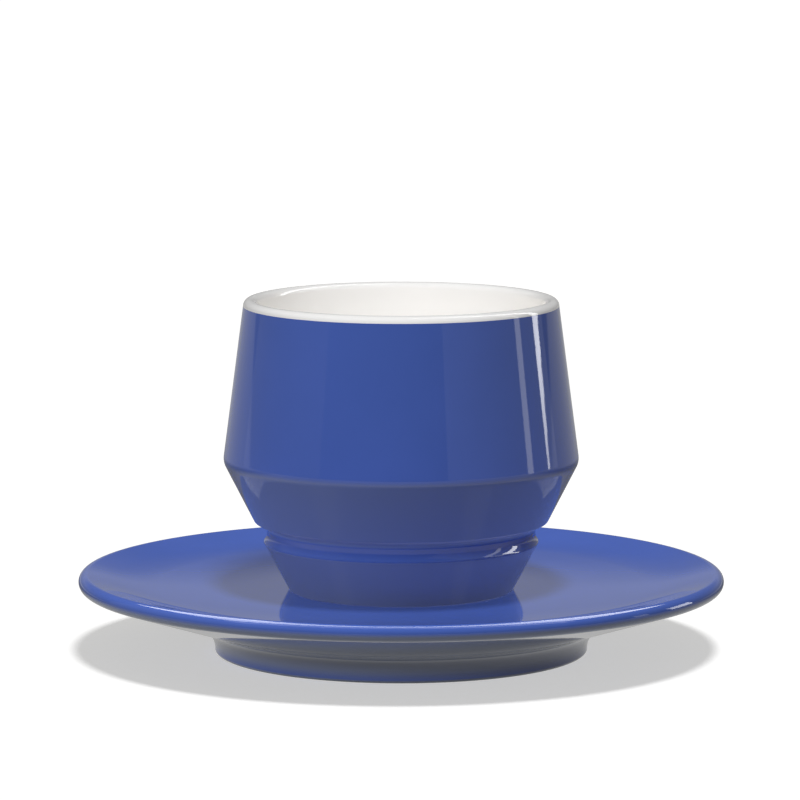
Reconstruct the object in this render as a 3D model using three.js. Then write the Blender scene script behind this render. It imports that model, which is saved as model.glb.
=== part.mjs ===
// Double-walled cappuccino cup without a handle, standing on its saucer.
// Millimetres, +Z up, origin at the middle of the saucer's foot ring on the table.
import * as THREE from 'three';

// Saucer, with heights above the table.
const saucerDiameter = 155;
const saucerHeight = 19.3;
const saucerRimThickness = 3.9;
const seatHeight = 15;
const dishDiameter = 88.6;
const dishRise = 1.5;
const dishRound = 360;
const upturnDiameter = 128.6;
const upturnRound = 60;
const saucerFloor = 5;
const saucerFootDiameter = 89.6;
const saucerFootWidth = 4;
const saucerFootRound = 0.8;
const saucerRecessRound = 4;
const flangeRootHeight = 5.5;
const flangeRootRound = 6.5;

// Cup, with heights above the surface that it stands on.
const cupHeight = 70.2;
const rimDiameter = 75.6;
const lipThickness = 3.3;
const shoulderDiameter = 85.4;
const shoulderHeight = 31.2;
const shoulderRound = 4;
const ledgeDiameter = 70.3;
const ledgeHeight = 16.45;
const ledgeRound = 0.9;
const underledgeRound = 1.9;
const neckDiameter = 64.6;
const neckHeight = 12.75;
const neckRound = 3;
const footLipDiameter = 66.2;
const footLipHeight = 11.6;
const footLipRound = 0.6;
const cupFootDiameter = 53.8;
const cupFootWidth = 4;
const cupFootRound = 0.5;
const cupRecessDepth = 1;
const cupRecessRound = 0.8;

// Walls of the shell and the liner, and the room between them.
const shellWall = 2.4;
const shellRimWall = 1.5;
const shellFloor = 3.4;
const shellFloorRound = 4;
const seamClearance = 0.2;
const airGap = 2.5;
const bowlWall = 2;
const bowlFloor = 2.2;
const bowlShoulderRound = 12;
const waistRound = 10;
const bowlFloorRound = 7;

// Fineness of the turned surfaces.
const sidesAround = 64;
const arcStep = THREE.MathUtils.degToRad(22.5);

// A corner of a turned profile: distance from the axis, height and rounding radius.
function corner(r, z, round = 0) {
  return { point: new THREE.Vector2(r, z), round };
}

// Distance from a corner to where its rounding starts, for a given angle between its edges.
function tangentLength(round, angle) {
  return round / Math.tan(angle / 2);
}

// Points of a profile whose corners are rounded; roundings that would overrun an edge share it.
function roundedProfile(corners) {
  const count = corners.length;
  const inner = corners.map((item, index) => index > 0 && index < count - 1 && item.round > 0);
  const edges = corners.map((item, index) => {
    const next = corners[Math.min(index + 1, count - 1)];
    return next.point.clone().sub(item.point);
  });
  const angles = corners.map((item, index) => {
    if (!inner[index]) return Math.PI;
    const back = edges[index - 1].clone().negate();
    return back.angleTo(edges[index]);
  });
  const wanted = corners.map((item, index) => (inner[index] ? tangentLength(item.round, angles[index]) : 0));
  const share = edges.map((edge, index) => {
    const used = wanted[index] + wanted[Math.min(index + 1, count - 1)];
    return used > edge.length() ? edge.length() / used : 1;
  });
  const points = [];
  corners.forEach((item, index) => {
    if (!inner[index]) {
      points.push(item.point.clone());
      return;
    }
    const reach = wanted[index] * Math.min(share[index - 1], share[index]);
    points.push(...cornerArc(item.point, edges[index - 1], edges[index], angles[index], reach));
  });
  return points.filter((point, index) => index === 0 || point.distanceTo(points[index - 1]) > 1e-4);
}

// Arc that replaces a corner, from one edge to the next.
function cornerArc(point, edgeIn, edgeOut, angle, reach) {
  const start = point.clone().addScaledVector(edgeIn.clone().normalize(), -reach);
  const end = point.clone().addScaledVector(edgeOut.clone().normalize(), reach);
  const middle = start.clone().add(end).multiplyScalar(0.5);
  const radius = reach * Math.tan(angle / 2);
  const toCentre = middle.clone().sub(point).setLength(radius / Math.sin(angle / 2));
  const centre = point.clone().add(toCentre);
  const clockwise = edgeIn.cross(edgeOut) < 0;
  const from = start.clone().sub(centre).angle();
  const to = end.clone().sub(centre).angle();
  const steps = Math.max(2, Math.ceil((Math.PI - angle) / arcStep));
  return new THREE.EllipseCurve(centre.x, centre.y, radius, radius, from, to, clockwise).getPoints(steps);
}

// Corner of a full-round rim: where a line that touches the rim's circle meets the rim's outermost line.
function rimCorner(from, rimCentre, rimRadius, side) {
  const toCentre = rimCentre.clone().sub(from);
  const tilt = toCentre.angle() + side * Math.asin(rimRadius / toCentre.length());
  const run = rimCentre.x + rimRadius - from.x;
  return corner(rimCentre.x + rimRadius, from.y + run * Math.tan(tilt), rimRadius);
}

// Point at distance r from the axis on the line through a corner with a given rise per run.
function onSlope(from, rise, r) {
  return from.y + (r - from.x) * rise;
}

// Turned solid standing on the XY plane's Z axis; the profile runs from the axis round to the axis.
function turned(name, corners, material) {
  const geometry = new THREE.LatheGeometry(roundedProfile(corners), sidesAround);
  geometry.rotateX(Math.PI / 2);
  const mesh = new THREE.Mesh(geometry, material);
  mesh.name = name;
  return mesh;
}

// Glazes.
const blueGlaze = new THREE.MeshStandardMaterial({ color: 0x3d549a, roughness: 0.08, metalness: 0 });
const saucerGlaze = new THREE.MeshStandardMaterial({ color: 0x3d549a, roughness: 0.08, metalness: 0 });
const whiteGlaze = new THREE.MeshStandardMaterial({ color: 0xf1f0ed, roughness: 0.1, metalness: 0 });

// Saucer: recessed underside, foot ring, flared flange, full-round rim, upturned edge, dish and flat seat.
function makeSaucer() {
  const rimRadius = saucerRimThickness / 2;
  const rimCentre = new THREE.Vector2(saucerDiameter / 2 - rimRadius, saucerHeight - rimRadius);
  const footRadius = saucerFootDiameter / 2;
  const recessRadius = footRadius - saucerFootWidth;
  const recessHeight = seatHeight - saucerFloor;
  const dish = corner(dishDiameter / 2, seatHeight, dishRound);
  const upturn = corner(upturnDiameter / 2, seatHeight + dishRise, upturnRound);
  const flangeRoot = corner(footRadius, flangeRootHeight, flangeRootRound);
  return turned('saucer', [
    corner(0, recessHeight),
    corner(recessRadius, recessHeight, saucerRecessRound),
    corner(recessRadius, 0, saucerFootRound),
    corner(footRadius, 0, saucerFootRound),
    flangeRoot,
    rimCorner(flangeRoot.point, rimCentre, rimRadius, -1),
    rimCorner(upturn.point, rimCentre, rimRadius, 1),
    upturn,
    dish,
    corner(0, seatHeight),
  ], saucerGlaze);
}

// Line where the white lip meets the blue shell, at the middle of the lip's rounding.
const seamHeight = cupHeight - lipThickness / 2;

// Inner corners of the shell, from the shoulder down to the floor, which the liner keeps clear of.
const footRise = footLipHeight / ((footLipDiameter - cupFootDiameter) / 2);
const shellShoulder = corner(shoulderDiameter / 2 - shellWall, shoulderHeight, shoulderRound);
const shellWaist = corner(neckDiameter / 2 - shellWall, ledgeHeight, waistRound);
const shellCorner = corner(cupFootDiameter / 2 + shellFloor / footRise - shellWall, shellFloor, shellFloorRound);

// Outer shell: foot ring, tapered foot with its rounded lip, hollow neck, stacking ledge, shoulder and cone.
function makeShell() {
  const ringRadius = cupFootDiameter / 2 - cupFootWidth;
  return turned('cup_outer_shell', [
    corner(0, cupRecessDepth),
    corner(ringRadius, cupRecessDepth, cupRecessRound),
    corner(ringRadius, 0, cupFootRound),
    corner(cupFootDiameter / 2, 0, cupFootRound),
    corner(footLipDiameter / 2, footLipHeight, footLipRound),
    corner(neckDiameter / 2, neckHeight, neckRound),
    corner(neckDiameter / 2, ledgeHeight, underledgeRound),
    corner(ledgeDiameter / 2, ledgeHeight, ledgeRound),
    corner(shoulderDiameter / 2, shoulderHeight, shoulderRound),
    corner(rimDiameter / 2, seamHeight),
    corner(rimDiameter / 2 - shellRimWall, seamHeight),
    shellShoulder,
    shellWaist,
    shellCorner,
    corner(0, shellFloor),
  ], blueGlaze);
}

// Inner liner: bowl hung by its rolled lip on the shell's top edge, an air gap inside the shell.
function makeLiner() {
  const lipRound = lipThickness / 2;
  const outerRadius = rimDiameter / 2 - shellRimWall - seamClearance;
  const innerRadius = rimDiameter / 2 - lipThickness;
  const rise = (shellShoulder.point.y - shellWaist.point.y) / (shellShoulder.point.x - shellWaist.point.x);
  const outerWaist = corner(shellWaist.point.x - airGap, shellWaist.point.y, waistRound + bowlWall);
  const innerWaist = corner(outerWaist.point.x - bowlWall, shellWaist.point.y, waistRound);
  const outerFloor = corner(shellCorner.point.x - airGap, shellFloor + airGap, bowlFloorRound + bowlWall);
  const innerFloor = corner(outerFloor.point.x - bowlWall, outerFloor.point.y + bowlFloor, bowlFloorRound);
  const outerShoulder = onSlope(outerWaist.point, rise, outerRadius);
  const innerShoulder = onSlope(innerWaist.point, rise, innerRadius);
  return turned('cup_inner_liner', [
    corner(0, outerFloor.point.y),
    outerFloor,
    outerWaist,
    corner(outerRadius, outerShoulder, bowlShoulderRound + bowlWall),
    corner(outerRadius, seamHeight),
    corner(rimDiameter / 2, seamHeight),
    corner(rimDiameter / 2, cupHeight, lipRound),
    corner(innerRadius, cupHeight, lipRound),
    corner(innerRadius, innerShoulder, bowlShoulderRound),
    innerWaist,
    innerFloor,
    corner(0, innerFloor.point.y),
  ], whiteGlaze);
}

// The cup stands on the saucer's flat seat.
const cup = new THREE.Group();
cup.position.z = seatHeight;
cup.add(makeShell(), makeLiner());

const cupWithSaucer = new THREE.Group();
cupWithSaucer.add(makeSaucer(), cup);

export default cupWithSaucer;
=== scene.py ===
import math

import bpy
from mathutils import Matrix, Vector


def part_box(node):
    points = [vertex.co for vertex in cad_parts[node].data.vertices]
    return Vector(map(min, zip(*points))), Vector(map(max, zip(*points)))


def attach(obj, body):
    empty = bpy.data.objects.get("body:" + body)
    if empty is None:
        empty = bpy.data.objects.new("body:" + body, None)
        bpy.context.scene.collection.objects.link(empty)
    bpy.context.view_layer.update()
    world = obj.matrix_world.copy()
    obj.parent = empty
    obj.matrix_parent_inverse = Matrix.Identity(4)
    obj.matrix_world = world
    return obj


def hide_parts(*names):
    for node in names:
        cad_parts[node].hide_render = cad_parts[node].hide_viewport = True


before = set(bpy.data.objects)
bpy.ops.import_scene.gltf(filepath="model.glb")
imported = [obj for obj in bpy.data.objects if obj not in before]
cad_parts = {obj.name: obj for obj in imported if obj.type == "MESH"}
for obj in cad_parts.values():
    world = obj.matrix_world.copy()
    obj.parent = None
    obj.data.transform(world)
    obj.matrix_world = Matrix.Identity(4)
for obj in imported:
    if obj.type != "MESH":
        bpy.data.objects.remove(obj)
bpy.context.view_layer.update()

print("frame loaded:", ", ".join(sorted(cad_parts)))

mm = 0.001

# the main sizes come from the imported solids, the details are in each piece's dictionary
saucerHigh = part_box("saucer")[1]
shellLow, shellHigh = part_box("cup_outer_shell")
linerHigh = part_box("cup_inner_liner")[1]
saucerRadius = saucerHigh.x
saucerHeight = saucerHigh.z
seatHeight = shellLow.z
seamHeight = shellHigh.z
rimHeight = linerHigh.z

# fineness of the turned surfaces
spinSteps = 288
arcStep = math.radians(4)
arcLength = 1 * mm
sharpAngle = math.radians(35)


# profile helpers: a corner is distance from the axis, height and rounding, in metres

def corner(r, z, rounding=0):
    return {"at": Vector((r, z)), "rounding": rounding}


def cornerArc(item, before, after, reach):
    point = item["at"]
    intoEdge = (before["at"] - point).normalized()
    outEdge = (after["at"] - point).normalized()
    opening = intoEdge.angle(outEdge)
    radius = reach * math.tan(opening / 2)
    start = point + intoEdge * reach
    centre = point + (intoEdge + outEdge).normalized() * radius / math.sin(opening / 2)
    arm = start - centre
    sweep = math.pi - opening
    if intoEdge.cross(outEdge) > 0:
        sweep = -sweep
    steps = max(math.ceil(abs(sweep) / arcStep), math.ceil(abs(sweep) * radius / arcLength))
    points = []
    for i in range(steps + 1):
        turn = sweep * i / steps
        x = arm.x * math.cos(turn) - arm.y * math.sin(turn)
        y = arm.x * math.sin(turn) + arm.y * math.cos(turn)
        points.append(centre + Vector((x, y)))
    return points


# distance from each corner to where its rounding starts; two that would overrun an edge share it
def roundingReach(corners):
    wanted = []
    for i, item in enumerate(corners):
        if i in (0, len(corners) - 1) or not item["rounding"]:
            wanted.append(0)
            continue
        opening = (corners[i - 1]["at"] - item["at"]).angle(corners[i + 1]["at"] - item["at"])
        wanted.append(item["rounding"] / math.tan(opening / 2))
    reach = list(wanted)
    for i in range(len(corners) - 1):
        length = (corners[i + 1]["at"] - corners[i]["at"]).length
        used = wanted[i] + wanted[i + 1]
        if used > length:
            reach[i] = min(reach[i], wanted[i] * length / used)
            reach[i + 1] = min(reach[i + 1], wanted[i + 1] * length / used)
    return reach


# straight runs get points close to both ends, so the smooth shading stays flat along them
def straightRun(start, end, hold=0.25 * mm, longest=4 * mm):
    run = end - start
    if run.length < 3 * hold:
        return []
    direction = run.normalized()
    first = start + direction * hold
    last = end - direction * hold
    count = max(1, math.ceil((last - first).length / longest))
    return [first.lerp(last, i / count) for i in range(count + 1)]


def roundedProfile(corners):
    reach = roundingReach(corners)
    points = []
    for i, item in enumerate(corners):
        stretch = [item["at"]]
        if reach[i]:
            stretch = cornerArc(item, corners[i - 1], corners[i + 1], reach[i])
        if points:
            points += straightRun(points[-1], stretch[0])
        points += stretch
    return points


# a rim corner: where a line touching the rim's circle meets the rim's outermost line
def rimCorner(start, centre, radius, side):
    toCentre = centre - start["at"]
    tilt = math.atan2(toCentre.y, toCentre.x) + side * math.asin(radius / toCentre.length)
    edge = centre.x + radius
    height = start["at"].y + (edge - start["at"].x) * math.tan(tilt)
    return corner(edge, height, radius)


def onSlope(start, rise, r):
    return start["at"].y + (r - start["at"].x) * rise


# turns a profile once around the axis into a closed piece; the profile starts and ends on the axis
def spinPiece(name, corners, material):
    points = roundedProfile(corners)
    ring = points[1:-1]
    verts = [(0, 0, points[0].y), (0, 0, points[-1].y)]
    for i in range(spinSteps):
        turn = 2 * math.pi * i / spinSteps
        verts += [(p.x * math.cos(turn), p.x * math.sin(turn), p.y) for p in ring]
    faces = []
    for i in range(spinSteps):
        here = 2 + i * len(ring)
        there = 2 + (i + 1) % spinSteps * len(ring)
        faces.append((0, there, here))
        for k in range(len(ring) - 1):
            faces.append((here + k, there + k, there + k + 1, here + k + 1))
        faces.append((here + len(ring) - 1, there + len(ring) - 1, 1))
    mesh = bpy.data.meshes.new(name)
    mesh.from_pydata(verts, [], faces)
    mesh.shade_smooth()
    mesh.set_sharp_from_angle(angle=sharpAngle)
    mesh.materials.append(material)
    piece = bpy.data.objects.new(name, mesh)
    bpy.context.collection.objects.link(piece)
    print(name, len(points), "profile points,", len(faces), "faces")
    return piece


# material helpers

def newTree(material):
    material.use_nodes = True
    tree = material.node_tree
    tree.nodes.clear()
    return tree


# links an output to an input, or sets the input to a plain value
def feed(tree, source, target):
    if isinstance(source, bpy.types.NodeSocket):
        tree.links.new(source, target)
    else:
        target.default_value = source


def addNode(tree, kind, settings=None, **inputs):
    item = tree.nodes.new(kind)
    for key, value in (settings or {}).items():
        setattr(item, key, value)
    for key, value in inputs.items():
        feed(tree, value, item.inputs[key])
    return item


def addMath(tree, operation, *values):
    item = addNode(tree, "ShaderNodeMath", {"operation": operation})
    for i, value in enumerate(values):
        feed(tree, value, item.inputs[i])
    return item.outputs[0]


def addNoise(tree, place, scale, detail, roughness):
    item = addNode(tree, "ShaderNodeTexNoise", Vector=place,
                   Scale=scale, Detail=detail, Roughness=roughness)
    return item.outputs["Fac"]


def addRamp(tree, reading, stops):
    item = addNode(tree, "ShaderNodeValToRGB", Fac=reading)
    elements = item.color_ramp.elements
    while len(elements) < len(stops):
        elements.new(1)
    for element, (position, color) in zip(elements, stops):
        element.position = position
        element.color = color
    return item.outputs["Color"]


# rises smoothly from 0 where the reading is at start to the full level where it is at end
def addFade(tree, reading, start, end, level=1):
    item = addNode(tree, "ShaderNodeMapRange", {"interpolation_type": "SMOOTHSTEP"}, Value=reading)
    item.inputs["From Min"].default_value = start
    item.inputs["From Max"].default_value = end
    item.inputs["To Max"].default_value = level
    return item.outputs["Result"]


def splitAxes(tree, vector):
    return addNode(tree, "ShaderNodeSeparateXYZ", Vector=vector).outputs


# sockets of a mix node for colours and for plain numbers: first, second and result
mixSockets = {"RGBA": (6, 7, 2), "FLOAT": (2, 3, 0)}


def addMix(tree, kind, factor, firstValue, secondValue):
    item = addNode(tree, "ShaderNodeMix", {"data_type": kind}, Factor=factor)
    first, second, result = mixSockets[kind]
    feed(tree, firstValue, item.inputs[first])
    feed(tree, secondValue, item.inputs[second])
    return item.outputs[result]


# mixes a new value over what already feeds a socket of the surface
def mixOver(tree, surface, socket, factor, value):
    kind = "RGBA" if socket == "Base Color" else "FLOAT"
    below = surface.inputs[socket].links[0].from_socket
    feed(tree, addMix(tree, kind, factor, below, value), surface.inputs[socket])


def grey(level):
    return (level, level, level, 1)


# what both glazes share
glazeFinish = {
    "cloudDetail": 3,
    "cloudRoughness": 0.6,
    "thinBelow": 0.3,
    "deepAbove": 0.7,
    "polishSpread": 0.2,
    "rippleDetail": 1,
    "rippleRoughness": 0.4,
    "rippleStrength": 0.25,
    "rippleHeight": 0.004 * mm,
    "ior": 1.5,
}


# glossy glaze, with a bare clay ring below footHeight where the piece stands in the kiln
def glazeMaterial(name, look, footHeight=None):
    material = bpy.data.materials.new(name)
    tree = newTree(material)
    coords = addNode(tree, "ShaderNodeTexCoord").outputs
    place = coords["Object"]

    clouds = addNoise(tree, place, look["cloudScale"],
                      glazeFinish["cloudDetail"], glazeFinish["cloudRoughness"])
    tint = addRamp(tree, clouds, [(glazeFinish["thinBelow"], look["thinColor"]),
                                  (glazeFinish["deepAbove"], look["deepColor"])])
    polish = addNode(tree, "ShaderNodeMapRange", Value=clouds)
    polish.inputs["To Min"].default_value = look["roughness"] * (1 - glazeFinish["polishSpread"])
    polish.inputs["To Max"].default_value = look["roughness"] * (1 + glazeFinish["polishSpread"])

    # faint unevenness of the melted glaze
    ripple = addNoise(tree, place, look["rippleScale"],
                      glazeFinish["rippleDetail"], glazeFinish["rippleRoughness"])
    bump = addNode(tree, "ShaderNodeBump", Strength=glazeFinish["rippleStrength"],
                   Distance=glazeFinish["rippleHeight"], Height=ripple)

    surface = addNode(tree, "ShaderNodeBsdfPrincipled", IOR=glazeFinish["ior"],
                      Normal=bump.outputs["Normal"], Roughness=polish.outputs["Result"])
    feed(tree, tint, surface.inputs["Base Color"])
    # painted sheen on faces turned down, standing in for the floor's reflection
    if "undersideSheenColor" in look:
        addPaintedUndersideSheen(tree, coords["Normal"], surface, look)
    if footHeight is not None:
        addBareRing(tree, place, clouds, surface, footHeight)
    addNode(tree, "ShaderNodeOutputMaterial", Surface=surface.outputs["BSDF"])
    return material


bareClay = {
    "paleColor": (0.72, 0.68, 0.62, 1),
    "darkColor": (0.60, 0.56, 0.50, 1),
    "darkBelow": 0.35,
    "paleAbove": 0.65,
    "grainScale": 900,
    "grainDetail": 4,
    "grainRoughness": 0.65,
    "roughness": 0.75,
    "edgeHeight": 0.01 * mm,
    "edgeWobble": 0.02 * mm,
}


# the ring ends in a slightly uneven line
def addBareRing(tree, place, clouds, surface, footHeight):
    grain = addNoise(tree, place, bareClay["grainScale"],
                     bareClay["grainDetail"], bareClay["grainRoughness"])
    clay = addRamp(tree, grain, [(bareClay["darkBelow"], bareClay["darkColor"]),
                                 (bareClay["paleAbove"], bareClay["paleColor"])])
    uneven = addMath(tree, "MULTIPLY_ADD", clouds, bareClay["edgeWobble"], splitAxes(tree, place)["Z"])
    ringTop = footHeight + bareClay["edgeWobble"] / 2
    bare = addFade(tree, uneven, ringTop + bareClay["edgeHeight"], ringTop)
    mixOver(tree, surface, "Base Color", bare, clay)
    mixOver(tree, surface, "Roughness", bare, bareClay["roughness"])


# painted sheen: where the piece faces down, a greyer, paler colour is mixed into the glaze, standing
# in for the floor's grey reflection there
def addPaintedUndersideSheen(tree, facing, surface, look):
    # mask of the painted sheen, from nothing on upright faces to full on faces turned well down
    thin = addFade(tree, splitAxes(tree, facing)["Z"], look["undersideSheenStart"], look["undersideSheenFull"])
    mixOver(tree, surface, "Base Color", thin, look["undersideSheenColor"])


blueGlaze = {
    "thinColor": (0.054, 0.107, 0.412, 1),
    "deepColor": (0.050, 0.101, 0.388, 1),
    # painted sheen on faces turned down: a greyer, paler blue for the floor's reflection, fading in
    # between the two facing heights below
    "undersideSheenColor": (0.175, 0.23, 0.43, 1),
    "undersideSheenStart": 0.05,
    "undersideSheenFull": -0.4,
    "cloudScale": 45,
    "roughness": 0.045,
    "rippleScale": 260,
}

whiteGlaze = {
    "thinColor": (0.96, 0.953, 0.945, 1),
    "deepColor": (0.94, 0.933, 0.925, 1),
    "cloudScale": 40,
    "roughness": 0.06,
    "rippleScale": 240,
}


# saucer: underside recess, foot ring, flared flange, full-round rim, upturned edge, dish and flat seat

saucer = {
    "rimThickness": 3.9 * mm,
    "dishRadius": 44.3 * mm,
    "dishRise": 1.5 * mm,
    "dishRounding": 360 * mm,
    "upturnRadius": 64.3 * mm,
    "upturnRounding": 60 * mm,
    "floor": 5 * mm,
    "footRadius": 44.8 * mm,
    "footWidth": 4 * mm,
    "footRounding": 0.8 * mm,
    "recessRounding": 4 * mm,
    "flangeRootHeight": 5.5 * mm,
    "flangeRootRounding": 6.5 * mm,
}


def makeSaucer():
    rimRounding = saucer["rimThickness"] / 2
    rimCentre = Vector((saucerRadius - rimRounding, saucerHeight - rimRounding))
    recessRadius = saucer["footRadius"] - saucer["footWidth"]
    recessHeight = seatHeight - saucer["floor"]
    dish = corner(saucer["dishRadius"], seatHeight, saucer["dishRounding"])
    upturn = corner(saucer["upturnRadius"], seatHeight + saucer["dishRise"], saucer["upturnRounding"])
    flangeRoot = corner(saucer["footRadius"], saucer["flangeRootHeight"], saucer["flangeRootRounding"])
    material = glazeMaterial("blue glaze of the saucer", blueGlaze, 0)
    piece = spinPiece("saucer_glazed", [
        corner(0, recessHeight),
        corner(recessRadius, recessHeight, saucer["recessRounding"]),
        corner(recessRadius, 0, saucer["footRounding"]),
        corner(saucer["footRadius"], 0, saucer["footRounding"]),
        flangeRoot,
        rimCorner(flangeRoot, rimCentre, rimRounding, -1),
        rimCorner(upturn, rimCentre, rimRounding, 1),
        upturn,
        dish,
        corner(0, seatHeight),
    ], material)
    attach(piece, "saucer")
    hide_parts("saucer")
    return piece


# cup: heights are above the seat that it stands on

shell = {
    "footRadius": 26.9 * mm,
    "footWidth": 4 * mm,
    "footRounding": 0.5 * mm,
    "recessDepth": 1 * mm,
    "recessRounding": 0.8 * mm,
    "footLipRadius": 33.1 * mm,
    "footLipHeight": 11.6 * mm,
    "footLipRounding": 0.6 * mm,
    "neckRadius": 32.3 * mm,
    "neckHeight": 12.75 * mm,
    "neckRounding": 3 * mm,
    "underledgeRounding": 1.9 * mm,
    "ledgeRadius": 35.15 * mm,
    "ledgeHeight": 16.45 * mm,
    "ledgeRounding": 0.9 * mm,
    "shoulderRadius": 42.7 * mm,
    "shoulderHeight": 31.2 * mm,
    "shoulderRounding": 4 * mm,
    "wall": 2.4 * mm,
    "rimWall": 1.5 * mm,
    "floor": 3.4 * mm,
    "floorRounding": 4 * mm,
    "waistRounding": 10 * mm,
}

liner = {
    "rimRadius": 37.8 * mm,
    "lipThickness": 3.3 * mm,
    "seamClearance": 0.2 * mm,
    "airGap": 2.5 * mm,
    "wall": 2 * mm,
    "floor": 2.2 * mm,
    "shoulderRounding": 12 * mm,
    "waistRounding": 10 * mm,
    "floorRounding": 7 * mm,
}


def aboveSeat(r, z, rounding=0):
    return corner(r, seatHeight + z, rounding)


# inner corners of the shell, which the liner keeps clear of
def shellInside():
    footRun = (shell["footLipRadius"] - shell["footRadius"]) / shell["footLipHeight"]
    cornerRadius = shell["footRadius"] + shell["floor"] * footRun - shell["wall"]
    return {
        "shoulder": aboveSeat(shell["shoulderRadius"] - shell["wall"], shell["shoulderHeight"],
                              shell["shoulderRounding"]),
        "waist": aboveSeat(shell["neckRadius"] - shell["wall"], shell["ledgeHeight"],
                           shell["waistRounding"]),
        "floor": aboveSeat(cornerRadius, shell["floor"], shell["floorRounding"]),
    }


def makeShell():
    inside = shellInside()
    ringRadius = shell["footRadius"] - shell["footWidth"]
    material = glazeMaterial("blue glaze of the cup", blueGlaze, seatHeight)
    piece = spinPiece("cup_shell_glazed", [
        aboveSeat(0, shell["recessDepth"]),
        aboveSeat(ringRadius, shell["recessDepth"], shell["recessRounding"]),
        aboveSeat(ringRadius, 0, shell["footRounding"]),
        aboveSeat(shell["footRadius"], 0, shell["footRounding"]),
        aboveSeat(shell["footLipRadius"], shell["footLipHeight"], shell["footLipRounding"]),
        aboveSeat(shell["neckRadius"], shell["neckHeight"], shell["neckRounding"]),
        aboveSeat(shell["neckRadius"], shell["ledgeHeight"], shell["underledgeRounding"]),
        aboveSeat(shell["ledgeRadius"], shell["ledgeHeight"], shell["ledgeRounding"]),
        aboveSeat(shell["shoulderRadius"], shell["shoulderHeight"], shell["shoulderRounding"]),
        corner(liner["rimRadius"], seamHeight),
        corner(liner["rimRadius"] - shell["rimWall"], seamHeight),
        inside["shoulder"],
        inside["waist"],
        inside["floor"],
        aboveSeat(0, shell["floor"]),
    ], material)
    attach(piece, "cup")
    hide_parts("cup_outer_shell")
    return piece


def makeLiner():
    inside = shellInside()
    lipRounding = liner["lipThickness"] / 2
    outerRadius = liner["rimRadius"] - shell["rimWall"] - liner["seamClearance"]
    innerRadius = liner["rimRadius"] - liner["lipThickness"]
    slope = inside["shoulder"]["at"] - inside["waist"]["at"]
    rise = slope.y / slope.x
    waistHeight = inside["waist"]["at"].y
    outerWaist = corner(inside["waist"]["at"].x - liner["airGap"], waistHeight,
                        liner["waistRounding"] + liner["wall"])
    innerWaist = corner(outerWaist["at"].x - liner["wall"], waistHeight, liner["waistRounding"])
    outerFloor = corner(inside["floor"]["at"].x - liner["airGap"],
                        inside["floor"]["at"].y + liner["airGap"],
                        liner["floorRounding"] + liner["wall"])
    innerFloor = corner(outerFloor["at"].x - liner["wall"], outerFloor["at"].y + liner["floor"],
                        liner["floorRounding"])
    material = glazeMaterial("white glaze of the bowl", whiteGlaze)
    piece = spinPiece("cup_liner_glazed", [
        corner(0, outerFloor["at"].y),
        outerFloor,
        outerWaist,
        corner(outerRadius, onSlope(outerWaist, rise, outerRadius),
               liner["shoulderRounding"] + liner["wall"]),
        corner(outerRadius, seamHeight),
        corner(liner["rimRadius"], seamHeight),
        corner(liner["rimRadius"], rimHeight, lipRounding),
        corner(innerRadius, rimHeight, lipRounding),
        corner(innerRadius, onSlope(innerWaist, rise, innerRadius), liner["shoulderRounding"]),
        innerWaist,
        innerFloor,
        corner(0, innerFloor["at"].y),
    ], material)
    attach(piece, "cup")
    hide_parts("cup_inner_liner")
    return piece


# floor: pale sweep that renders white and keeps the shadow of the piece, with little bounce

floorLook = {
    "size": 12,
    "color": (0.72, 0.72, 0.72, 1),
    "bounceColor": (0.20, 0.20, 0.20, 1),
    "glow": 0.50,
    "glowColor": (1, 0.99, 0.965, 1),
    "frontShine": 0.62,
    "frontStart": 0.12,
    "frontFull": -0.05,
    "farShine": 0.32,
    "farStart": 0.15,
    "farFull": 0.6,
}


# the glaze reflects the floor brighter in front of the piece and far away from it
def floorShine(tree, glossy):
    place = addNode(tree, "ShaderNodeTexCoord").outputs["Object"]
    front = addFade(tree, splitAxes(tree, place)["Y"],
                    floorLook["frontStart"], floorLook["frontFull"], floorLook["frontShine"])
    distance = addNode(tree, "ShaderNodeVectorMath", {"operation": "LENGTH"}, Vector=place)
    far = addFade(tree, distance.outputs["Value"],
                  floorLook["farStart"], floorLook["farFull"], floorLook["farShine"])
    return addMath(tree, "MULTIPLY", glossy, addMath(tree, "MAXIMUM", front, far))


def makeFloor():
    bpy.ops.mesh.primitive_plane_add(size=floorLook["size"])
    floor = bpy.context.object
    floor.name = "floor"
    material = bpy.data.materials.new("pale floor")
    tree = newTree(material)
    path = addNode(tree, "ShaderNodeLightPath").outputs
    seen = addMath(tree, "MAXIMUM", path["Is Camera Ray"], path["Is Transmission Ray"])
    color = addMix(tree, "RGBA", seen, floorLook["bounceColor"], floorLook["color"])
    paint = addNode(tree, "ShaderNodeBsdfDiffuse", Color=color)
    shine = floorShine(tree, path["Is Glossy Ray"])
    level = addMath(tree, "MULTIPLY_ADD", seen, floorLook["glow"], shine)
    glow = addNode(tree, "ShaderNodeEmission", Color=floorLook["glowColor"], Strength=level)
    both = addNode(tree, "ShaderNodeAddShader")
    feed(tree, paint.outputs[0], both.inputs[0])
    feed(tree, glow.outputs[0], both.inputs[1])
    addNode(tree, "ShaderNodeOutputMaterial", Surface=both.outputs[0])
    floor.data.materials.append(material)


# studio: dim room behind the camera, with a paler band near the floor behind the piece

# each line is a height in the view, from 0 at the horizon to 1 overhead
room = {
    "front": 0.165,
    "floorLine": 0.11,
    "backFloor": 0.30,
    "lowLine": 0.17,
    "backLow": 0.37,
    "middleLine": 0.25,
    "backMiddle": 0.20,
    "highLine": 0.4,
    "backHigh": 0.08,
    "backFocus": 6,
}


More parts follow.
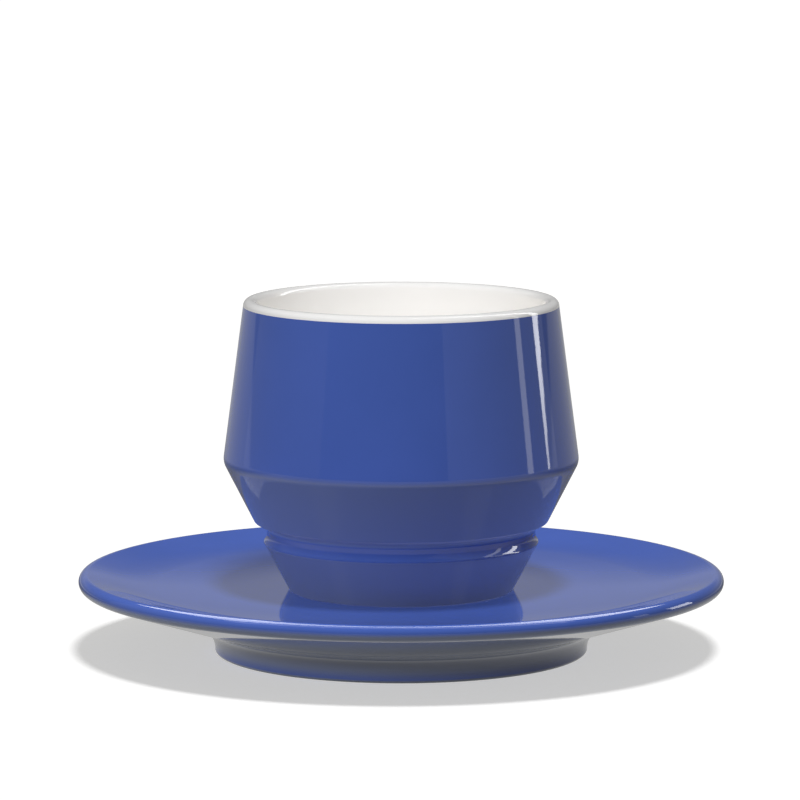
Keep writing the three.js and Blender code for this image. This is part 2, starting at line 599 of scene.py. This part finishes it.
def makeRoom():
    world = bpy.data.worlds.new("studio")
    bpy.context.scene.world = world
    tree = newTree(world)
    axes = splitAxes(tree, addNode(tree, "ShaderNodeTexCoord").outputs["Generated"])
    back = addRamp(tree, axes["Z"], [
        (room["floorLine"], grey(room["backFloor"])),
        (room["lowLine"], grey(room["backLow"])),
        (room["middleLine"], grey(room["backMiddle"])),
        (room["highLine"], grey(room["backHigh"])),
    ])
    towardsBack = addMath(tree, "POWER", addMath(tree, "MAXIMUM", axes["Y"], 0), room["backFocus"])
    color = addMix(tree, "RGBA", towardsBack, grey(room["front"]), back)
    background = addNode(tree, "ShaderNodeBackground", Color=color, Strength=1)
    addNode(tree, "ShaderNodeOutputWorld", Surface=background.outputs["Background"])


# lamps: one high sun for the shadow, a lift from below, and panels for soft light and shine

keySun = {
    "strength": 2.0,
    "angle": math.radians(11),
    "towardsCamera": math.radians(16.5),
    "towardsRight": math.radians(5.2),
}

# warm lift from below for the undersides, as from a table top
underFill = {
    "strength": 1.8,
    "color": (1, 0.8, 0.45),
    "angle": math.radians(90),
}


def makeSun(name, strength, angle, rotation):
    data = bpy.data.lights.new(name, "SUN")
    data.energy = strength
    data.angle = angle
    sun = bpy.data.objects.new(name, data)
    sun.rotation_euler = rotation
    sun.visible_glossy = False
    bpy.context.collection.objects.link(sun)
    return sun


def makeKeySun():
    makeSun("key sun", keySun["strength"], keySun["angle"],
            (keySun["towardsCamera"], keySun["towardsRight"], 0))


def makeUnderFill():
    sun = makeSun("fill from below", underFill["strength"], underFill["angle"], (math.pi, 0, 0))
    sun.data.color = underFill["color"]
    sun.data.use_shadow = False


def makeGroup(name, pieces):
    group = bpy.data.collections.new(name)
    for piece in pieces:
        group.objects.link(piece)
    return group


# a panel gives soft light without a shadow, or only a reflection, on the pieces of one group
def makePanel(name, look, receivers):
    data = bpy.data.lights.new(name, "AREA")
    data.shape = "RECTANGLE"
    data.size = look["width"]
    data.size_y = look["height"]
    data.energy = look["brightness"] * math.pi * look["width"] * look["height"]
    panel = bpy.data.objects.new(name, data)
    azimuth = look["azimuth"]
    elevation = look["elevation"]
    away = Vector((math.sin(azimuth) * math.cos(elevation),
                   -math.cos(azimuth) * math.cos(elevation),
                   math.sin(elevation)))
    panel.location = Vector((0, 0, seatHeight)) + away * look["distance"]
    panel.rotation_euler = away.to_track_quat("Z", "Y").to_euler()
    panel.visible_camera = False
    panel.visible_diffuse = look["use"] == "light"
    panel.visible_glossy = look["use"] == "reflection"
    bpy.context.collection.objects.link(panel)
    data.use_shadow = False
    panel.light_linking.receiver_collection = receivers[look["on"]]


# azimuth 0 is the camera's side, and turns to the camera's right
panels = {
    "fill on the left": {
        "use": "light", "on": "blue pieces",
        "azimuth": math.radians(-45), "elevation": math.radians(52), "distance": 1.5,
        "width": 0.8, "height": 0.8, "brightness": 7.2,
    },
    "low fill for the bowl": {
        "use": "light", "on": "liner",
        "azimuth": math.radians(-28), "elevation": 0, "distance": 1.5,
        "width": 0.8, "height": 0.8, "brightness": 4.9,
    },
    "reflector over the saucer": {
        "use": "reflection", "on": "saucer",
        "azimuth": math.radians(180), "elevation": math.radians(71.3), "distance": 0.195,
        "width": 0.33, "height": 0.19, "brightness": 5.2,
    },
    "reflector over the back": {
        "use": "reflection", "on": "shell",
        "azimuth": math.radians(180), "elevation": math.radians(57), "distance": 1.5,
        "width": 0.95, "height": 1.3, "brightness": 5.2,
    },
    "reflector overhead": {
        "use": "reflection", "on": "blue pieces",
        "azimuth": 0, "elevation": math.radians(84), "distance": 1.2,
        "width": 2.0, "height": 0.25, "brightness": 2.0,
    },
    "wide strip on the right": {
        "use": "reflection", "on": "cup",
        "azimuth": math.radians(112.1), "elevation": math.radians(44.6), "distance": 1.2,
        "width": 0.2, "height": 2.1, "brightness": 6.8,
    },
    "thin strip on the right": {
        "use": "reflection", "on": "cup",
        "azimuth": math.radians(91), "elevation": math.radians(38), "distance": 1.2,
        "width": 0.13, "height": 2.6, "brightness": 1.95,
    },
    "wide strip at the saucer": {
        "use": "reflection", "on": "saucer",
        "azimuth": math.radians(111.2), "elevation": math.radians(9), "distance": 0.6,
        "width": 0.15, "height": 0.15, "brightness": 4.2,
    },
    "thin strip at the saucer": {
        "use": "reflection", "on": "saucer",
        "azimuth": math.radians(88), "elevation": math.radians(7), "distance": 0.6,
        "width": 0.07, "height": 0.12, "brightness": 1.3,
    },
    "dim card on the right": {
        "use": "reflection", "on": "cup",
        "azimuth": math.radians(76), "elevation": math.radians(20), "distance": 1.2,
        "width": 2.5, "height": 1.4, "brightness": 0.25,
    },
    "dim card on the left": {
        "use": "reflection", "on": "blue pieces",
        "azimuth": math.radians(-88), "elevation": math.radians(20), "distance": 1.2,
        "width": 1.7, "height": 1.4, "brightness": 0.13,
    },
}


# the wide strip goes on downward in steps, each narrower and dimmer than the one above
stripFoot = {
    "steps": 5,
    "stepDrop": math.radians(0.6),
    "fade": 0.86,
}


def makeStripFoot(receivers):
    strip = panels["wide strip on the right"]
    reach = math.hypot(strip["distance"], strip["height"] / 2)
    top = strip["elevation"] - math.atan2(strip["height"] / 2, strip["distance"])
    left = strip["azimuth"] - strip["width"] / 2 / reach
    for i in range(stripFoot["steps"]):
        width = strip["width"] * (stripFoot["steps"] - i) / (stripFoot["steps"] + 1)
        makePanel("foot of the wide strip " + str(i + 1), {
            "use": "reflection", "on": "cup",
            "azimuth": left + width / 2 / reach, "elevation": top - (i + 0.5) * stripFoot["stepDrop"],
            "distance": reach, "width": width, "height": reach * stripFoot["stepDrop"],
            "brightness": strip["brightness"] * stripFoot["fade"] ** i,
        }, receivers)


# camera: the photograph's height and long lens

cameraSetup = {
    "lens": 240.2,
    "sensor": 36,
    "farthest": 50,
    "pitch": math.radians(7.605),
    "distance": 1278.5 * mm,
    "aimHeight": 60.71 * mm,
    "aimLeft": 0.28 * mm,
}


def makeCamera():
    data = bpy.data.cameras.new("camera")
    data.lens = cameraSetup["lens"]
    data.sensor_width = cameraSetup["sensor"]
    data.clip_end = cameraSetup["farthest"]
    camera = bpy.data.objects.new("camera", data)
    pitch = cameraSetup["pitch"]
    aim = Vector((-cameraSetup["aimLeft"], 0, cameraSetup["aimHeight"]))
    camera.location = aim + Vector((0, -math.cos(pitch), math.sin(pitch))) * cameraSetup["distance"]
    camera.rotation_euler = (math.pi / 2 - pitch, 0, 0)
    bpy.context.collection.objects.link(camera)
    bpy.context.scene.camera = camera


makeCamera()
makeFloor()
makeRoom()
makeKeySun()
makeUnderFill()
print("stage set")
saucerPiece = makeSaucer()
shellPiece = makeShell()
linerPiece = makeLiner()
print("pieces made")
receivers = {
    "blue pieces": makeGroup("blue pieces", [saucerPiece, shellPiece]),
    "saucer": makeGroup("saucer alone", [saucerPiece]),
    "shell": makeGroup("shell alone", [shellPiece]),
    "liner": makeGroup("liner alone", [linerPiece]),
    "cup": makeGroup("cup alone", [shellPiece, linerPiece]),
}
for name, look in panels.items():
    makePanel(name, look, receivers)
makeStripFoot(receivers)
print("panels set")

bpy.context.scene.view_settings.view_transform = "Standard"
